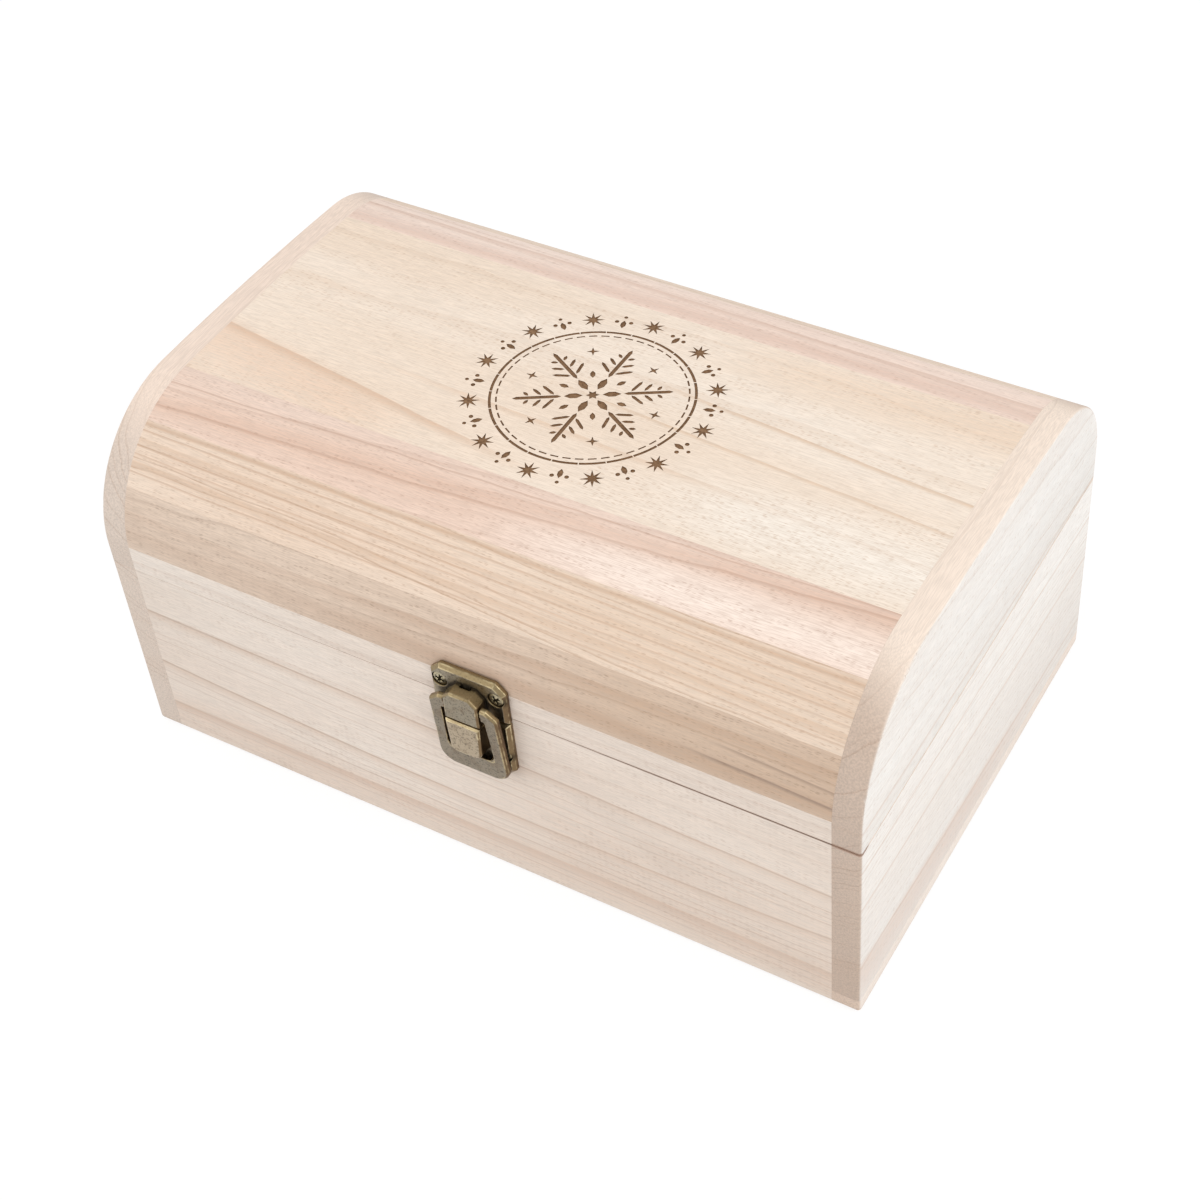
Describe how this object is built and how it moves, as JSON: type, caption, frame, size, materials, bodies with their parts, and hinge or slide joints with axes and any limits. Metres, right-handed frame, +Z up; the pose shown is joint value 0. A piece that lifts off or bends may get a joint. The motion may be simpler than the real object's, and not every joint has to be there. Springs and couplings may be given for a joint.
{
  "type": "wooden keepsake chest",
  "caption": "Wooden keepsake chest with a rounded hinged lid of glued staves and an antique-brass swing-bail clasp on the front.",
  "frame": {"origin": "middle of the underside, on the surface that the chest stands on, under the middle of the wooden box", "axes": "+X along the length to the right as seen from the front, +Y to the back where the hinges are, +Z up"},
  "size_m": [0.3, 0.2075, 0.1447],
  "materials": {
    "pale_board": "sanded, unvarnished",
    "end_board": "sanded, unvarnished",
    "brown_stave": "sanded, unvarnished",
    "straw_stave": "sanded, unvarnished",
    "rose_stave": "sanded, unvarnished",
    "straw_board": "sanded, laser engraved",
    "base_ply": "plain plywood",
    "antique_brass": "aged brass plating",
    "screw_brass": "aged brass plating"
  },
  "bodies": {
    "chest": {"body_front": "pale_board", "body_back": "pale_board", "body_left_end": "end_board", "body_right_end": "end_board", "body_right_end_strip": "end_board", "base_panel": "base_ply", "clasp_lower_plate": "antique_brass", "clasp_lower_screws": "screw_brass", "hinge_left_body_leaf": "antique_brass", "hinge_left_pin": "antique_brass", "hinge_right_body_leaf": "antique_brass", "hinge_right_pin": "antique_brass", "hinge_body_screws": "screw_brass"},
    "lid": {"lid_front_rail": "pale_board", "lid_back_rail": "pale_board", "lid_left_end": "end_board", "lid_right_end": "end_board", "lid_front_stave_lower": "brown_stave", "lid_front_stave_middle": "straw_stave", "lid_front_stave_upper": "rose_stave", "lid_top_board": "straw_board", "lid_back_stave_upper": "rose_stave", "lid_back_stave_middle": "straw_stave", "lid_back_stave_lower": "brown_stave", "hinge_left_lid_leaf": "antique_brass", "hinge_right_lid_leaf": "antique_brass", "clasp_upper_plate": "antique_brass", "clasp_upper_screws": "screw_brass", "hinge_lid_screws": "screw_brass"},
    "bail": {"clasp_bail": "antique_brass"}
  },
  "joints": [
    {"name": "lid_hinge", "type": "hinge", "parent": "chest", "child": "lid", "pos_m": [0, 0.09925, 0.08627], "axis": [-1, 0, 0], "range_deg": [0, 105]},
    {"name": "bail_swing", "type": "hinge", "parent": "lid", "child": "bail", "pos_m": [0.0062, -0.10315, 0.09109], "axis": [-1, 0, 0], "range_deg": [0, 170]}
  ],
  "couplings": [
    {"joint": "bail_swing", "follows": "lid_hinge", "ratio": 1.619}
  ]
}
